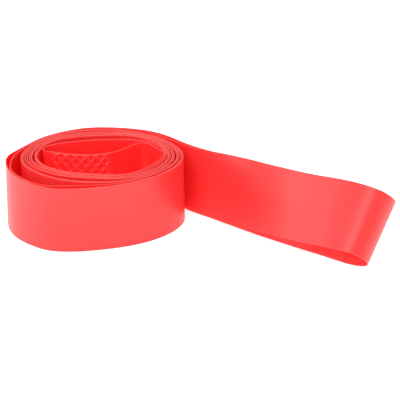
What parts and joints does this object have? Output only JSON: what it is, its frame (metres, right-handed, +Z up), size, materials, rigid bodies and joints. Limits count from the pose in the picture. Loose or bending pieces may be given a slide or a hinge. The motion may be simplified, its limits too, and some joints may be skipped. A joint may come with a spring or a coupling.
{
  "type": "bicycle rim strip",
  "caption": "Endless flat band of soft plastic for lining a bicycle rim, folded double and wound into a loose coil on its edge, with the doubled end trailing off in an open bend.",
  "frame": {"origin": "middle of the footprint's bounding box, on the floor", "axes": "+X from the coil along the tail, +Y away from the front, +Z up across the band's width"},
  "size_m": [0.1411, 0.0868, 0.0328],
  "materials": {
    "band": "satin",
    "weld": "satin, coarse diamond emboss"
  },
  "bodies": {
    "coil": {"inner_fold": "band", "outer_sheet_turn_1": "band", "outer_sheet_turn_2": "band", "outer_sheet_turn_3": "band", "outer_sheet_turn_4": "band", "outer_sheet_turn_5": "band", "outer_sheet_tail_root": "band", "tail_back_flex_1": "band", "tail_front_flex_1": "band", "inner_sheet_tail_root": "band", "inner_sheet_turn_5": "band", "inner_sheet_turn_4": "band", "inner_sheet_turn_3": "band", "inner_sheet_turn_2": "band", "inner_sheet_turn_1": "band", "weld_lap_under_end": "weld", "weld_lap_over_end": "weld"},
    "tail_mid": {"tail_back_mid": "band", "tail_front_mid": "band", "tail_back_flex_2": "band", "tail_front_flex_2": "band"},
    "tail_end": {"tail_back_end": "band", "valve_hole_patch": "band", "end_bend": "band", "tail_front_end": "band"}
  },
  "joints": [
    {"name": "tail_swing", "type": "hinge", "parent": "coil", "child": "tail_mid", "pos_m": [0.0022, 0.01605, 0], "axis": [0, 0, 1], "range_deg": [-20, 40], "stiffness_Nm_per_rad": 0.002, "deforming": ["tail_back_flex_1", "tail_front_flex_1"]},
    {"name": "tail_end_swing", "type": "hinge", "parent": "tail_mid", "child": "tail_end", "pos_m": [0.0277, -0.01165, 0], "axis": [0, 0, 1], "range_deg": [-25, 25], "stiffness_Nm_per_rad": 0.002, "deforming": ["tail_back_flex_2", "tail_front_flex_2"]}
  ]
}
